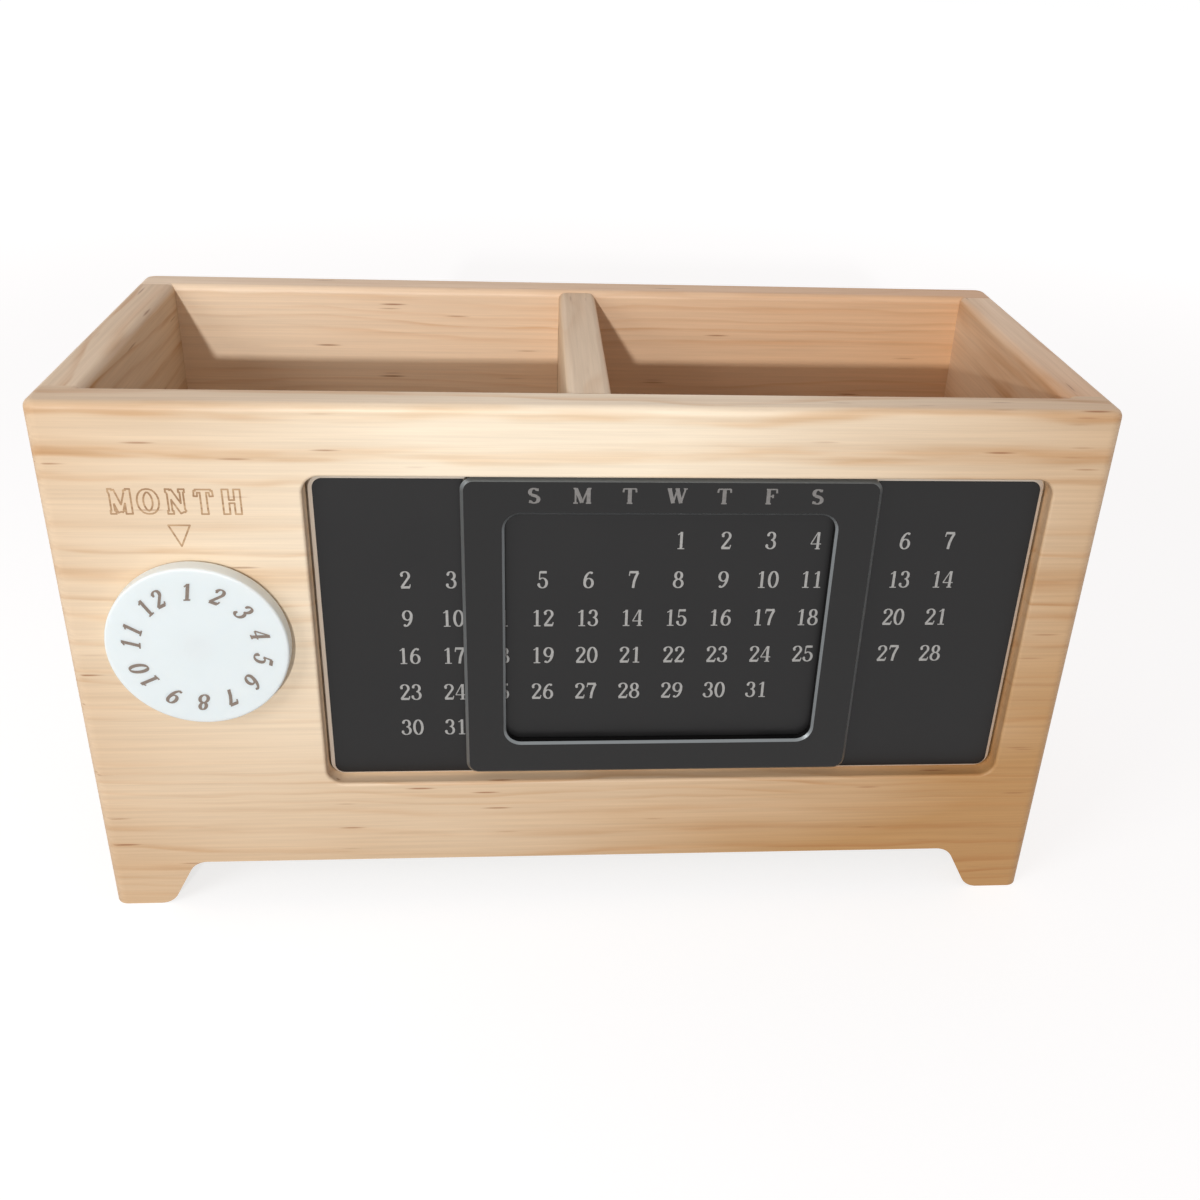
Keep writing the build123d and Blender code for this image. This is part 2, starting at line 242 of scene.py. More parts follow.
# %% [markdown]
# ## Solid pine
# The boards are sawn from pine and sanded, with a thin oil. A tree grows one ring a year: wide
# pale wood in spring, a narrow darker band in summer, and then a sharp edge. The board cuts
# through those rings, so the pattern is made in the solid and not painted on a face, and cut
# surfaces, edges and end grain all agree. A trunk puts on about the same area of wood each year,
# so its rings get narrower outwards: the distance from the heart, squared and divided by that
# yearly area, gives the year. Noise drawn out along the trunk makes the rings wander. Under its
# bark a pine is cream coloured (sapwood), and further in it is honey brown (heartwood), where
# the rings are firmest and most of the short resin flecks lie. The front board is palest at the
# middle of its top edge and turns honey brown towards its ends and its feet, most of all at the
# lower right; that brown is partly heartwood and partly painted shade, where the light falls off.
# Each board has its own place in a trunk, so no two match. The back board and the right side get
# a warmer heartwood, partly painted shade: the warmth stands in for light bounced inside the box.
# The pattern is built up from small functions: the years of growth, the summer wood in each year,
# the strength of the rings, the heartwood with its painted shade, and the flecks.

# %% Pine colours
sapwood = "#FBEDD5"
heartwood = "#BA8F5C"
golden_heartwood_and_shade = "#CC935B"   # a warmer heartwood for the back board and the right side; partly painted shade, standing in for the warm light bounced inside the box
summer_tint = "#DDBA8C"        # what a summer band does to the wood under it
resin_brown = "#8F5A32"
end_grain_brown = "#C9955C"
print("pine from", sapwood, "to", heartwood)

# %% Rings counted from the heart
wander_mm = 10.0               # noise in a point's distance from the heart
trunk_slope = 0.012            # the trunk rises this much along the board
weather_years = 2.6            # how far runs of good and bad years move the rings


def years_of_growth(tree, board, heart, yearly_area):
    """A point's distance from the heart, and the year in which its wood grew.

    heart is the trunk's centre as (depth, height), and yearly_area the growth of the radius
    squared in a year, both in mm. The trunk's line wanders over the length of a hand.
    """
    wander_place = add_node(
        tree, "ShaderNodeVectorMath", {0: board, 1: (1 / 80, 1 / 26, 1 / 20)}, operation="MULTIPLY")
    wander = add_node(
        tree, "ShaderNodeTexNoise",
        {"Vector": wander_place, "Scale": 1.0, "Detail": 3.0, "Roughness": 0.5})
    from_heart = add_node(
        tree, "ShaderNodeVectorMath", {0: board, 1: (0.0, heart[0], heart[1])}, operation="SUBTRACT")
    slanted = add_node(tree, "ShaderNodeSeparateXYZ", {0: from_heart})
    sloped = add_node(
        tree, "ShaderNodeMath", {0: slanted.outputs["X"], 1: trunk_slope, 2: slanted.outputs["Z"]},
        operation="MULTIPLY_ADD")
    across = add_node(tree, "ShaderNodeCombineXYZ", {1: slanted.outputs["Y"], 2: sloped})
    radius = add_node(tree, "ShaderNodeVectorMath", {0: across}, operation="LENGTH")
    radius = add_node(
        tree, "ShaderNodeMath", {0: wander, 1: wander_mm, 2: radius.outputs["Value"]},
        operation="MULTIPLY_ADD")
    grown = add_node(tree, "ShaderNodeMath", {0: radius, 1: radius}, operation="MULTIPLY")
    years = add_node(tree, "ShaderNodeMath", {0: grown, 1: 1 / yearly_area}, operation="MULTIPLY")
    weather = add_node(
        tree, "ShaderNodeTexNoise", {"W": radius, "Scale": 0.09, "Detail": 1.0},
        noise_dimensions="1D")
    years = add_node(
        tree, "ShaderNodeMath", {0: weather, 1: weather_years, 2: years}, operation="MULTIPLY_ADD")
    return radius, years


# %% Summer wood
def summer_wood(tree, years):
    """Each ring darkens slowly towards its summer wood and ends at a firm line, some years more."""
    within = add_node(tree, "ShaderNodeMath", {0: years}, operation="FRACT")
    rise = add_node(
        tree, "ShaderNodeMapRange", {"Value": within, "From Min": 0.42, "From Max": 0.9},
        interpolation_type="SMOOTHSTEP")
    fall = add_node(
        tree, "ShaderNodeMapRange",
        {"Value": within, "From Min": 0.84, "From Max": 1.0, "To Min": 1.0, "To Max": 0.0},
        interpolation_type="SMOOTHSTEP")
    summer = add_node(tree, "ShaderNodeMath", {0: rise, 1: fall}, operation="MULTIPLY")
    year = add_node(tree, "ShaderNodeMath", {0: years}, operation="FLOOR")
    good_year = add_node(tree, "ShaderNodeTexWhiteNoise", {"W": year}, noise_dimensions="1D")
    strength = add_node(
        tree, "ShaderNodeMapRange",
        {"Value": good_year.outputs["Value"], "To Min": 0.32, "To Max": 0.9})
    return add_node(tree, "ShaderNodeMath", {0: summer, 1: strength}, operation="MULTIPLY")


def ring_strength(tree, board, clouds, radius, inner_and_shade):
    """How much the rings show: in clouds, with short breaks, less far out and more in heartwood."""
    break_place = add_node(
        tree, "ShaderNodeVectorMath", {0: board, 1: (1 / 24, 1 / 3, 1 / 2.2)}, operation="MULTIPLY")
    breaks = add_node(
        tree, "ShaderNodeTexNoise",
        {"Vector": break_place, "Scale": 1.0, "Detail": 2.0, "Roughness": 0.55})
    strength = add_node(
        tree, "ShaderNodeMapRange", {"Value": clouds, "From Min": 0.36, "From Max": 0.6, "To Min": 0.5})
    for value, low, high, at_low, at_high in (
            (breaks, 0.36, 0.6, 0.35, 1.0), (radius, 85.0, 150.0, 1.1, 0.55), (inner_and_shade, 0.0, 1.0, 0.8, 1.35)):
        share = add_node(
            tree, "ShaderNodeMapRange",
            {"Value": value, "From Min": low, "From Max": high, "To Min": at_low, "To Max": at_high})
        strength = add_node(tree, "ShaderNodeMath", {0: strength, 1: share}, operation="MULTIPLY")
    return strength


# %% Sapwood and heartwood
cloud_reach = 50.0             # mm by which the clouds move the border


def heartwood_share(tree, grain, height, clouds, palest, reach, slant):
    """0 in sapwood and 1 in heartwood. On the front board the share is partly painted shade as well, and
    grows where the light falls off.

    palest is the place of the palest sapwood as (along the grain, height), and reach the
    distances from it where heartwood begins and is full. slant tilts the pale zone, in mm along
    the grain for each mm of height.
    """
    leaning = add_node(
        tree, "ShaderNodeMath", {0: height, 1: slant, 2: grain}, operation="MULTIPLY_ADD")
    on_board = add_node(tree, "ShaderNodeCombineXYZ", {0: leaning, 1: height})
    from_palest = add_node(
        tree, "ShaderNodeVectorMath",
        {0: on_board, 1: (palest[0] + slant * palest[1], palest[1], 0.0)}, operation="DISTANCE")
    depth_in_trunk = add_node(
        tree, "ShaderNodeMath", {0: clouds, 1: cloud_reach, 2: from_palest.outputs["Value"]},
        operation="MULTIPLY_ADD")
    usual_cloud = cloud_reach / 2
    return add_node(
        tree, "ShaderNodeMapRange",
        {"Value": depth_in_trunk, "From Min": reach[0] + usual_cloud, "From Max": reach[1] + usual_cloud})


# %% Resin flecks
def resin_flecks(tree, board, clouds, inner_and_shade):
    """Thin dashes up to a centimetre long, in clusters, and most of them in the heartwood."""
    fleck_place = add_node(
        tree, "ShaderNodeVectorMath", {0: board, 1: (1 / 15, 1 / 1.3, 1 / 1.1)}, operation="MULTIPLY")
    cells = add_node(
        tree, "ShaderNodeTexVoronoi", {"Vector": fleck_place, "Scale": 1.0, "Randomness": 1.0})
    fleck = add_node(
        tree, "ShaderNodeMapRange",
        {"Value": cells.outputs["Distance"], "From Min": 0.06, "From Max": 0.26,
         "To Min": 1.0, "To Max": 0.0},
        interpolation_type="SMOOTHSTEP")
    cell_chance = add_node(tree, "ShaderNodeSeparateXYZ", {0: cells.outputs["Color"]})
    chance = add_node(
        tree, "ShaderNodeMath", {0: clouds, 1: 1.2, 2: cell_chance.outputs["X"]},
        operation="MULTIPLY_ADD")
    chance = add_node(tree, "ShaderNodeMath", {0: inner_and_shade, 1: 0.2, 2: chance}, operation="MULTIPLY_ADD")
    chosen = add_node(
        tree, "ShaderNodeMapRange",
        {"Value": chance, "From Min": 1.52, "From Max": 1.68, "To Max": 0.8})
    return add_node(tree, "ShaderNodeMath", {0: fleck, 1: chosen}, operation="MULTIPLY")


# %% A pine board
def pine(name, along, heart, yearly_area, shift, palest, reach, inner_wood_and_shade=heartwood, slant=0.0):
    """Oiled pine with its grain along one axis, cut from the noise at its own place (shift, mm)."""
    material, tree, shader = start_material(name)
    in_mm, normal = surface_point(tree)
    parts = add_node(tree, "ShaderNodeSeparateXYZ", {0: in_mm})
    grain, depth = parts.outputs[along], parts.outputs["Y" if along == "X" else "X"]
    height = parts.outputs["Z"]
    board = add_node(tree, "ShaderNodeCombineXYZ", {0: grain, 1: depth, 2: height})
    board = add_node(tree, "ShaderNodeVectorMath", {0: board, 1: shift}, operation="ADD")
    cloud_place = add_node(
        tree, "ShaderNodeVectorMath", {0: board, 1: (1 / 70, 1 / 30, 1 / 14)}, operation="MULTIPLY")
    clouds = add_node(
        tree, "ShaderNodeTexNoise",
        {"Vector": cloud_place, "Scale": 1.0, "Detail": 2.0, "Roughness": 0.5})

    heart_place = (heart[0] + shift[1], heart[1] + shift[2])
    radius, years = years_of_growth(tree, board, heart_place, yearly_area)
    inner_and_shade = heartwood_share(tree, grain, height, clouds, palest, reach, slant)
    summer = add_node(
        tree, "ShaderNodeMath",
        {0: summer_wood(tree, years), 1: ring_strength(tree, board, clouds, radius, inner_and_shade)},
        operation="MULTIPLY")
    # The ground mixes sapwood and heartwood. On the front board this mix is partly painted shade, and the
    # warmer heartwood of the back board and right side is partly painted shade too.
    ground = add_node(
        tree, "ShaderNodeMixRGB",
        {"Fac": inner_and_shade, "Color1": linear(sapwood), "Color2": linear(inner_wood_and_shade)})
    colour = add_node(
        tree, "ShaderNodeMixRGB", {"Fac": summer, "Color1": ground, "Color2": linear(summer_tint)},
        blend_type="MULTIPLY")

    # Fibres: streaks about half a millimetre apart and a few centimetres long.
    fibre_place = add_node(
        tree, "ShaderNodeVectorMath", {0: board, 1: (1 / 32, 1 / 0.7, 1 / 0.55)}, operation="MULTIPLY")
    fibres = add_node(
        tree, "ShaderNodeTexNoise",
        {"Vector": fibre_place, "Scale": 1.0, "Detail": 3.0, "Roughness": 0.6})
    fibre_shade = add_node(
        tree, "ShaderNodeMapRange",
        {"Value": fibres, "From Min": 0.3, "From Max": 0.7, "To Min": 0.92, "To Max": 1.05})
    colour = add_node(
        tree, "ShaderNodeVectorMath", {0: colour, "Scale": fibre_shade}, operation="SCALE")
    colour = add_node(
        tree, "ShaderNodeMixRGB",
        {"Fac": resin_flecks(tree, board, clouds, inner_and_shade), "Color1": colour,
         "Color2": linear(resin_brown)})

    # End grain drinks more oil and turns darker.
    facing = add_node(tree, "ShaderNodeSeparateXYZ", {0: normal})
    end_on = add_node(tree, "ShaderNodeMath", {0: facing.outputs[along]}, operation="ABSOLUTE")
    end_grain = add_node(
        tree, "ShaderNodeMapRange",
        {"Value": end_on, "From Min": 0.55, "From Max": 0.98, "To Max": 0.28},
        interpolation_type="SMOOTHSTEP")
    colour = add_node(
        tree, "ShaderNodeMixRGB",
        {"Fac": end_grain, "Color1": colour, "Color2": linear(end_grain_brown)})
    link(tree, colour, shader, "Base Color")

    roughness = add_node(
        tree, "ShaderNodeMapRange",
        {"Value": fibres, "From Min": 0.3, "From Max": 0.7, "To Min": 0.52, "To Max": 0.42})
    link(tree, roughness, shader, "Roughness")
    relief = add_node(tree, "ShaderNodeMath", {0: summer, 1: 0.5, 2: fibres}, operation="MULTIPLY_ADD")
    bump = add_node(
        tree, "ShaderNodeBump", {"Height": relief, "Strength": 0.25, "Distance": 0.05 * mm})
    link(tree, bump, shader, "Normal")
    return material


# %% Five boards
# Front board: the spread from the pale top middle to brown ends, feet and lower right is partly painted
# shade, where the light falls off.
dress(pine("oiled_pine_front", along="X", heart=(20.0, 178.0), yearly_area=1100.0,
           shift=(0.0, 0.0, 0.0), palest=(-5.0, 105.0), reach=(20.0, 146.0), slant=-0.5),
      "front_panel")
# Back board and right side: their warmer heartwood is partly painted shade, standing in for the warm light
# bounced inside the box.
dress(pine("oiled_pine_back", along="X", heart=(95.0, -40.0), yearly_area=1050.0,
           shift=(310.0, 40.0, 15.0), palest=(-90.0, 125.0), reach=(-80.0, 262.0),
           inner_wood_and_shade=golden_heartwood_and_shade),
      "back_panel")
dress(pine("oiled_pine_left_side", along="Y", heart=(-150.0, 30.0), yearly_area=760.0,
           shift=(90.0, -60.0, 120.0), palest=(-40.0, 60.0), reach=(-40.0, 190.0)),
      "left_side_panel")
dress(pine("oiled_pine_right_side", along="Y", heart=(160.0, 90.0), yearly_area=720.0,
           shift=(-200.0, 35.0, -80.0), palest=(40.0, 130.0), reach=(-60.0, 150.0),
           inner_wood_and_shade=golden_heartwood_and_shade),
      "right_side_panel")
dress(pine("oiled_pine_divider", along="Y", heart=(55.0, -20.0), yearly_area=820.0,
           shift=(150.0, 75.0, 33.0), palest=(-40.0, 110.0), reach=(-70.0, 190.0)),
      "center_divider")

# %% [markdown]
# ## Plywood floor and beech dowels
# The floor panel is thin birch plywood: a pale, quiet face veneer, with the thin plies showing
# only at its edges, inside the grooves. The dowels are turned beech, a little pinker than pine,
# with short dark ray flecks along the rod.

# %% Plywood and beech
def birch_plywood(ply=1.0):
    """Face veneer with grain along X; plies of the given thickness in mm alternate up its edge."""
    material, tree, shader = start_material("birch_plywood")
    in_mm, normal = surface_point(tree)
    stretched = add_node(
        tree, "ShaderNodeVectorMath", {0: in_mm, 1: (1 / 60, 1 / 2.2, 1 / 2.2)}, operation="MULTIPLY")
    figure = add_node(
        tree, "ShaderNodeTexNoise", {"Vector": stretched, "Scale": 1.0, "Detail": 4.0, "Roughness": 0.6})
    face = add_node(
        tree, "ShaderNodeMixRGB",
        {"Fac": figure, "Color1": linear("#EBD3A8"), "Color2": linear("#D3AE7B")})
    height = add_node(tree, "ShaderNodeSeparateXYZ", {0: in_mm})
    plies = add_node(
        tree, "ShaderNodeMath", {0: height.outputs["Z"], 1: ply}, operation="PINGPONG")
    dark_ply = add_node(
        tree, "ShaderNodeMapRange",
        {"Value": plies, "From Min": 0.4 * ply, "From Max": 0.6 * ply, "To Max": 0.5})
    facing = add_node(tree, "ShaderNodeSeparateXYZ", {0: normal})
    upright = add_node(tree, "ShaderNodeMath", {0: facing.outputs["Z"]}, operation="ABSOLUTE")
    edge = add_node(
        tree, "ShaderNodeMapRange",
        {"Value": upright, "From Min": 0.2, "From Max": 0.6, "To Min": 1.0, "To Max": 0.0})
    edge_ply = add_node(tree, "ShaderNodeMath", {0: edge, 1: dark_ply}, operation="MULTIPLY")
    colour = add_node(
        tree, "ShaderNodeMixRGB", {"Fac": edge_ply, "Color1": face, "Color2": linear("#9C7347")})
    link(tree, colour, shader, "Base Color")
    shader.inputs["Roughness"].default_value = 0.6
    bump = add_node(tree, "ShaderNodeBump", {"Height": figure, "Strength": 0.2, "Distance": 0.05 * mm})
    link(tree, bump, shader, "Normal")
    return material


def turned_beech():
    """Beech rod lying along Y, with ray flecks about 3 mm long."""
    material, tree, shader = start_material("turned_beech")
    in_mm, _ = surface_point(tree)
    stretched = add_node(
        tree, "ShaderNodeVectorMath", {0: in_mm, 1: (1 / 0.4, 1 / 3, 1 / 0.4)}, operation="MULTIPLY")
    flecks = add_node(
        tree, "ShaderNodeTexNoise", {"Vector": stretched, "Scale": 1.0, "Detail": 2.0, "Roughness": 0.5})
    dark = add_node(
        tree, "ShaderNodeMapRange", {"Value": flecks, "From Min": 0.55, "From Max": 0.75})
    colour = add_node(
        tree, "ShaderNodeMixRGB",
        {"Fac": dark, "Color1": linear("#DDB68A"), "Color2": linear("#A97A4E")})
    link(tree, colour, shader, "Base Color")
    shader.inputs["Roughness"].default_value = 0.6
    return material


dress(birch_plywood(), "floor_panel")
dress(turned_beech(), "corner_dowels")

# %% [markdown]
# ## Black plates with cut bevels
# Both plates are metal under a black coat: a satin powder coat on the calendar, which scatters
# light softly, and a polished lacquer on the slider, which mirrors the room. Their front edges
# were cut at 45 degrees after coating, and each bevel makes a thin line round its plate: plain
# grey nickel on the slider, and on the calendar a pale matt cream, which is a painted highlight
# standing in for the light that the cut edge catches. The bevels are real faces of the CAD solid.
# The material finds them by the direction in which they face, and what faces straight to the
# front stays black.

# %% Black plates
cut_facing, cut_spread = -0.7, 0.2   # Y of a normal at 45 degrees, and how far a bevel's may differ


def coated_plate(name, coat, coat_roughness, coat_ior, grain_mm, grain_relief,
                 bevel_and_highlight, bevel_roughness, bevel_metal):
    """Black coat on the faces, and the bevel's colour on the faces that lie at about 45 degrees.

    bevel_metal is 1 for clean metal and less for a matt cut; the calendar's matt cream cut is a painted
    highlight.
    """
    material, tree, shader = start_material(name)
    in_mm, normal = surface_point(tree)
    facing = add_node(tree, "ShaderNodeSeparateXYZ", {0: normal})
    cut_and_highlight = add_node(
        tree, "ShaderNodeMath", {0: facing.outputs["Y"], 1: cut_facing, 2: cut_spread}, operation="COMPARE")
    bright = add_node(tree, "ShaderNodeMath", {0: cut_and_highlight, 1: bevel_metal}, operation="MULTIPLY")
    clouds = add_node(
        tree, "ShaderNodeTexNoise", {"Vector": in_mm, "Scale": 1 / 18, "Detail": 3.0, "Roughness": 0.55})
    coat_tone = add_node(
        tree, "ShaderNodeMixRGB",
        {"Fac": clouds, "Color1": linear(coat[0]), "Color2": linear(coat[1])})
    colour = add_node(
        tree, "ShaderNodeMixRGB", {"Fac": cut_and_highlight, "Color1": coat_tone, "Color2": linear(bevel_and_highlight)})
    link(tree, colour, shader, "Base Color")
    link(tree, bright, shader, "Metallic")
    shader.inputs["IOR"].default_value = coat_ior
    worn = add_node(
        tree, "ShaderNodeMapRange",
        {"Value": clouds, "From Min": 0.3, "From Max": 0.7,
         "To Min": coat_roughness * 0.85, "To Max": coat_roughness * 1.15})
    roughness = add_node(
        tree, "ShaderNodeMixRGB",
        {"Fac": cut_and_highlight, "Color1": worn, "Color2": (bevel_roughness, bevel_roughness, bevel_roughness, 1.0)})
    link(tree, roughness, shader, "Roughness")
    grain = add_node(
        tree, "ShaderNodeTexNoise", {"Vector": in_mm, "Scale": 1 / grain_mm, "Detail": 2.0})
    bump = add_node(
        tree, "ShaderNodeBump", {"Height": grain, "Strength": grain_relief, "Distance": 0.02 * mm})
    link(tree, bump, shader, "Normal")
    return material


# The calendar's pale cream bevel colour is a painted highlight: it stands in for the light that the cut
# edge catches.
dress(coated_plate("satin_black_powder_coat", coat=("#151516", "#100F10"), coat_roughness=0.42,
                   coat_ior=1.4, grain_mm=0.25, grain_relief=0.35,
                   bevel_and_highlight="#E2DBD1", bevel_roughness=0.5, bevel_metal=0.15),
      "calendar_board")
dress(coated_plate("gloss_black_lacquer", coat=("#0A0A0B", "#0D0C0C"), coat_roughness=0.08,
                   coat_ior=1.45, grain_mm=6.0, grain_relief=0.15,
                   bevel_and_highlight="#7F8385", bevel_roughness=0.35, bevel_metal=0.9),
      "slider_frame")

# %% [markdown]
# ## Plastics and small metal parts
# The dial is injection-moulded white ABS with a fine satin texture from its mould. The bush is
# natural nylon, milky and a little yellow, and the glide pads and the adhesive are thin films.
# The screw and the flat washer are zinc plated, the spring washer is blued spring steel, the
# insert is turned brass and the magnets have a bright nickel skin. Light goes a millimetre or
# two into a milky plastic before it comes out again, so the thin side of the dial glows a little.
# One function makes a plastic and one a metal: what differs is the colour, the gloss and the size
# of the surface pattern.

# %% Plastics and metals
light_reach = 1.5 * mm         # how far light spreads inside a milky plastic


def moulded_plastic(name, colour, deeper, roughness, texture_mm):
    """A plastic with slight cloudiness and the fine texture of its mould, given in mm."""
    material, tree, shader = start_material(name)
    shader.inputs["Subsurface Weight"].default_value = 0.6
    shader.inputs["Subsurface Radius"].default_value = (1.0, 0.95, 0.9)
    shader.inputs["Subsurface Scale"].default_value = light_reach
    in_mm, _ = surface_point(tree)
    clouds = add_node(
        tree, "ShaderNodeTexNoise", {"Vector": in_mm, "Scale": 1 / 9, "Detail": 2.0})
    tone = add_node(
        tree, "ShaderNodeMixRGB", {"Fac": clouds, "Color1": linear(colour), "Color2": linear(deeper)})
    link(tree, tone, shader, "Base Color")
    texture = add_node(
        tree, "ShaderNodeTexNoise", {"Vector": in_mm, "Scale": 1 / texture_mm, "Detail": 2.0})
    spread = add_node(
        tree, "ShaderNodeMapRange",
        {"Value": texture, "From Min": 0.3, "From Max": 0.7,
         "To Min": roughness * 0.9, "To Max": roughness * 1.1})
    link(tree, spread, shader, "Roughness")
    bump = add_node(tree, "ShaderNodeBump", {"Height": texture, "Strength": 0.2, "Distance": 0.02 * mm})
    link(tree, bump, shader, "Normal")
    return material


def turned_metal(name, colour, dulled, roughness, streak_mm):
    """A bare or plated metal part with fine turning marks, their spacing given in mm."""
    material, tree, shader = start_material(name)
    in_mm, _ = surface_point(tree)
    marks_place = add_node(
        tree, "ShaderNodeVectorMath", {0: in_mm, 1: (1 / 8, 1 / streak_mm, 1 / 8)}, operation="MULTIPLY")
    marks = add_node(
        tree, "ShaderNodeTexNoise", {"Vector": marks_place, "Scale": 1.0, "Detail": 3.0})
    tone = add_node(
        tree, "ShaderNodeMixRGB", {"Fac": marks, "Color1": linear(colour), "Color2": linear(dulled)})
    link(tree, tone, shader, "Base Color")
    shader.inputs["Metallic"].default_value = 1.0
    spread = add_node(
        tree, "ShaderNodeMapRange", {"Value": marks, "To Min": roughness * 0.8, "To Max": roughness * 1.2})
    link(tree, spread, shader, "Roughness")
    bump = add_node(tree, "ShaderNodeBump", {"Height": marks, "Strength": 0.2, "Distance": 0.01 * mm})
    link(tree, bump, shader, "Normal")
    return material


dress(moulded_plastic("satin_white_abs", "#E9F3F7", "#E3EEF2", 0.38, 0.3), "month_dial")
dress(moulded_plastic("natural_nylon", "#E9E6DA", "#DDD9CA", 0.45, 0.4), "dial_bush")
dress(moulded_plastic("glide_film", "#C9C9C6", "#BDBDBA", 0.35, 0.3), "slider_glide_pads")
dress(moulded_plastic("adhesive_film", "#D8D3C4", "#CBC6B6", 0.6, 0.5), "board_adhesive")
dress(turned_metal("zinc_plated_steel", "#C9CCD0", "#A9ACB0", 0.3, 0.15), "dial_screw", "dial_washer")
dress(turned_metal("blued_spring_steel", "#6B6E78", "#4C4E57", 0.35, 0.2), "dial_spring_washer")
dress(turned_metal("turned_brass", "#D9B469", "#BE9850", 0.28, 0.12), "dial_insert")
dress(turned_metal("nickel_plate", "#D3CFC6", "#BDB9B0", 0.22, 0.3), "slider_magnets")

# %% [markdown]
# ## Drawing figures and letters
# The dates are printed in an upright book face: thick where a stroke runs up and down, thin
# where it runs level, with small feet. The weekday initials are a bold and wide form of it, and
# the month numbers a bold one that leans. Instead of a font, each sign is drawn as a few pen
# strokes in a box one unit high, and the pen's width follows the direction of the stroke. The
# strokes overlap, so a triangulation joins them into one clean outline before it is given the
# thickness of the ink.

# %% A broad pen
figure_pitch = 0.6             # from one figure to the next, in figure heights
heavy, light, pen = "heavy", "light", "pen"
foot_line, cap_line = 0.03, 0.95     # heights of the small feet at the bottom and at the top
ball_radius = 0.068
arc_step = 16                  # degrees between the points of a curve
swell = 1.5                    # how late a turning stroke grows thick


def arc(x, y, width, height, start, end):
    """Points along an ellipse round (x, y), from one angle to another in degrees."""
    count = max(4, round(abs(end - start) / arc_step))
    angles = [math.radians(start + (end - start) * i / count) for i in range(count + 1)]
    return [(x + width * math.cos(a), y + height * math.sin(a)) for a in angles]


def stroke_polygons(path, weight, thick, thin):
    """The pen's trace along a path, as one four-sided polygon for each step."""
    points = [Vector(p) for p in path]
    sides = []
    for i, point in enumerate(points):
        direction = (points[min(i + 1, len(points) - 1)] - points[max(i - 1, 0)]).normalized()
        turning = thin + (thick - thin) * abs(direction.y) ** swell
        width = {heavy: thick, light: thin, pen: turning}[weight]
        side = Vector((-direction.y, direction.x)) * width / 2
        sides.append((point - side, point + side))
    return [[a[0], b[0], b[1], a[1]] for a, b in zip(sides, sides[1:])]


# %% The signs, each a list of (path, weight), and balls
def feet(*spans, height=foot_line):
    """Short level strokes at one height, such as those under a stem."""
    return [([(low, height), (high, height)], light) for low, high in spans]


# A nine is a six turned upside down.
six = [(arc(.31, .30, .20, .27, 0, 380), pen), (arc(.46, .34, .35, .60, 182, 96), pen)]
nine = [([(0.62 - x, 0.97 - y) for x, y in path], weight) for path, weight in six]
signs = {
    "0": [(arc(.30, .49, .21, .46, 0, 380), pen)],
    "1": [([(.32, .96), (.32, .02)], heavy), ([(.33, .93), (.14, .80)], light)] + feet((.15, .49)),
    "2": [(arc(.29, .73, .19, .22, 170, -32) + [(.10, .07)], pen), ([(.08, .07), (.50, .07)], heavy),
          ([(.50, .06), (.53, .24)], light)],
    "3": [(arc(.28, .73, .17, .22, 160, -88), pen), (arc(.27, .28, .21, .25, 88, -165), pen)],
    "4": [([(.36, .96), (.05, .31)], light), ([(.04, .30), (.56, .30)], light),
          ([(.40, .96), (.40, .02)], heavy)] + feet((.27, .53)),
    "5": [([(.15, .92), (.48, .92)], heavy), ([(.14, .95), (.12, .50)], light),
          (arc(.27, .31, .21, .28, 132, -165), pen)],
    "6": six,
    "7": [([(.09, .92), (.53, .92)], heavy), ([(.10, .94), (.08, .72)], light),
          ([(.51, .90), (.41, .66), (.33, .38), (.29, .02)], heavy)],
    "8": [(arc(.30, .73, .16, .21, 0, 380), pen), (arc(.30, .27, .21, .24, 0, 380), pen)],
    "9": nine,
    "S": [(arc(.29, .71, .18, .22, 30, 232), pen), ([(.18, .54), (.43, .44)], heavy),
          (arc(.30, .26, .20, .23, 52, -150), pen), ([(.46, .78), (.47, .94)], light),
          ([(.12, .20), (.10, .03)], light)],
    "M": [([(.12, .95), (.12, .03)], light), ([(.13, .95), (.42, .05)], heavy),
          ([(.42, .05), (.70, .95)], light), ([(.72, .96), (.72, .02)], heavy)]
         + feet((.02, .23), (.60, .84)) + feet((.02, .16), (.68, .84), height=cap_line),
    "T": [([(.04, .94), (.62, .94)], light), ([(.33, .95), (.33, .02)], heavy),
          ([(.05, .95), (.03, .72)], light), ([(.61, .95), (.63, .72)], light)] + feet((.20, .46)),
    "W": [([(.08, .95), (.27, .04)], heavy), ([(.27, .05), (.45, .95)], light),
          ([(.44, .95), (.63, .04)], heavy), ([(.63, .05), (.82, .95)], light)]
         + feet((-.01, .19), (.35, .55), (.73, .91), height=cap_line),
    "F": [([(.17, .95), (.17, .02)], heavy), ([(.06, .94), (.55, .94)], light),
          ([(.54, .95), (.56, .70)], light), ([(.17, .50), (.38, .50)], light),
          ([(.38, .61), (.38, .39)], light)] + feet((.05, .31)),
    "O": [(arc(.38, .49, .29, .46, 0, 380), pen)],
    "N": [([(.14, .95), (.14, .03)], light), ([(.14, .95), (.62, .04)], heavy),
          ([(.62, .95), (.62, .04)], light)]
         + feet((.03, .25)) + feet((.02, .18), (.51, .73), height=cap_line),
    "H": [([(.17, .95), (.17, .03)], heavy), ([(.61, .95), (.61, .03)], heavy),
          ([(.17, .50), (.61, .50)], light)]
         + feet((.05, .29), (.49, .73)) + feet((.05, .29), (.49, .73), height=cap_line),
}
balls = {"2": [(.13, .74)], "3": [(.13, .79), (.09, .22)], "5": [(.09, .23)], "6": [(.45, .88)],
         "9": [(.17, .09)]}
widths = {"M": .84, "T": .66, "W": .90, "O": .76, "N": .76, "H": .78}
